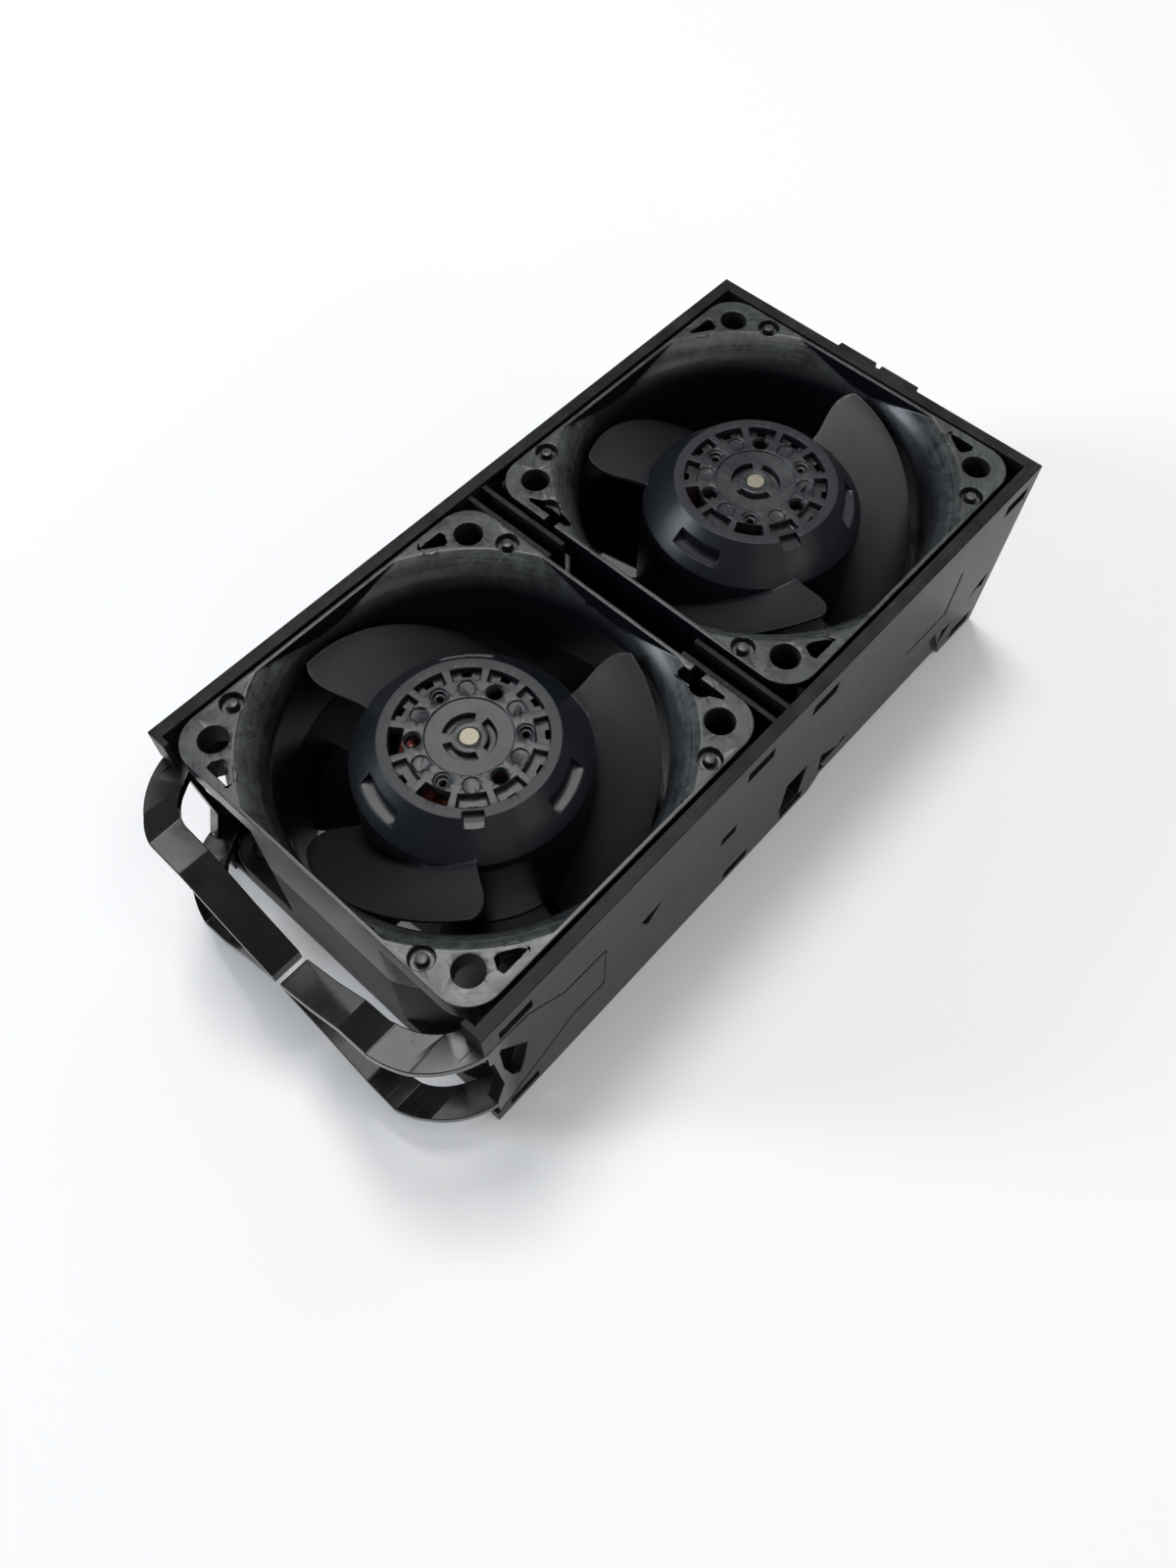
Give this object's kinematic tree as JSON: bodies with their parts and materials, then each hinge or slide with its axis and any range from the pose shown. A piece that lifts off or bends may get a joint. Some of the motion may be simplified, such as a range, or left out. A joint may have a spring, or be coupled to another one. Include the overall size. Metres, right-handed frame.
{
  "type": "server fan module",
  "caption": "Black plastic server fan module: twin square axial fans side by side in a moulded tray with squeeze-release levers at one end and a blind-mate connector at the other.",
  "frame": {"origin": "centre of the tray's flat underside, midway between the two fans", "axes": "+X runs along the tray from the squeeze levers to the connector end, +Y to the left wall, +Z out of the fans' air inlets"},
  "size_m": [0.139, 0.0654, 0.0405],
  "materials": {
    "tray_plastic": "black glass-filled moulding, satin with fine texture",
    "connector_plastic": "black moulded connector",
    "contact_brass": "gold-plated contacts",
    "frame_plastic": "black glass-filled moulding, satin sheen and light scuffs",
    "rotor_plastic": "dark charcoal moulding, satin",
    "yoke_steel": "zinc-plated pressed steel",
    "magnet_ferrite": "plastic-bonded ferrite",
    "shaft_steel": "ground steel",
    "tube_brass": "turned brass",
    "core_steel": "laminated electrical steel",
    "bobbin_plastic": "off-white moulded insulator",
    "copper_wire": "enamelled copper wire",
    "board_laminate": "green solder mask",
    "component_plastic": "black moulded components"
  },
  "bodies": {
    "module": {"carrier_tray": "tray_plastic", "connector_housing": "connector_plastic", "connector_contacts": "contact_brass", "near_inlet_frame": "frame_plastic", "near_outlet_frame": "frame_plastic", "near_guide_vanes": "frame_plastic", "near_motor_base": "frame_plastic", "near_bearing_tube": "tube_brass", "near_lower_bearing": "shaft_steel", "near_upper_bearing": "shaft_steel", "near_stator_core": "core_steel", "near_stator_bobbin": "bobbin_plastic", "near_windings": "copper_wire", "near_circuit_board": "board_laminate", "near_circuit_parts": "component_plastic", "far_inlet_frame": "frame_plastic", "far_outlet_frame": "frame_plastic", "far_guide_vanes": "frame_plastic", "far_motor_base": "frame_plastic", "far_bearing_tube": "tube_brass", "far_lower_bearing": "shaft_steel", "far_upper_bearing": "shaft_steel", "far_stator_core": "core_steel", "far_stator_bobbin": "bobbin_plastic", "far_windings": "copper_wire", "far_circuit_board": "board_laminate", "far_circuit_parts": "component_plastic"},
    "near_rotor": {"near_impeller": "rotor_plastic", "near_rotor_yoke": "yoke_steel", "near_magnet_ring": "magnet_ferrite", "near_shaft": "shaft_steel", "near_retaining_ring": "shaft_steel"},
    "far_rotor": {"far_impeller": "rotor_plastic", "far_rotor_yoke": "yoke_steel", "far_magnet_ring": "magnet_ferrite", "far_shaft": "shaft_steel", "far_retaining_ring": "shaft_steel"},
    "right_lever": {"right_release_lever": "tray_plastic"},
    "left_lever": {"left_release_lever": "tray_plastic"}
  },
  "joints": [
    {"name": "near_fan_spin", "type": "hinge", "parent": "module", "child": "near_rotor", "pos_m": [-0.0325, 0, 0.02], "axis": [0, 0, 1], "continuous": true},
    {"name": "far_fan_spin", "type": "hinge", "parent": "module", "child": "far_rotor", "pos_m": [0.0325, 0, 0.02], "axis": [0, 0, 1], "continuous": true},
    {"name": "right_lever_squeeze", "type": "hinge", "parent": "module", "child": "right_lever", "pos_m": [-0.04, -0.03165, 0.02], "axis": [0, 0, -1], "range_deg": [0, 1.2], "stiffness_Nm_per_rad": 6},
    {"name": "left_lever_squeeze", "type": "hinge", "parent": "module", "child": "left_lever", "pos_m": [-0.04, 0.03165, 0.02], "axis": [0, 0, 1], "range_deg": [0, 1.2], "stiffness_Nm_per_rad": 6}
  ]
}
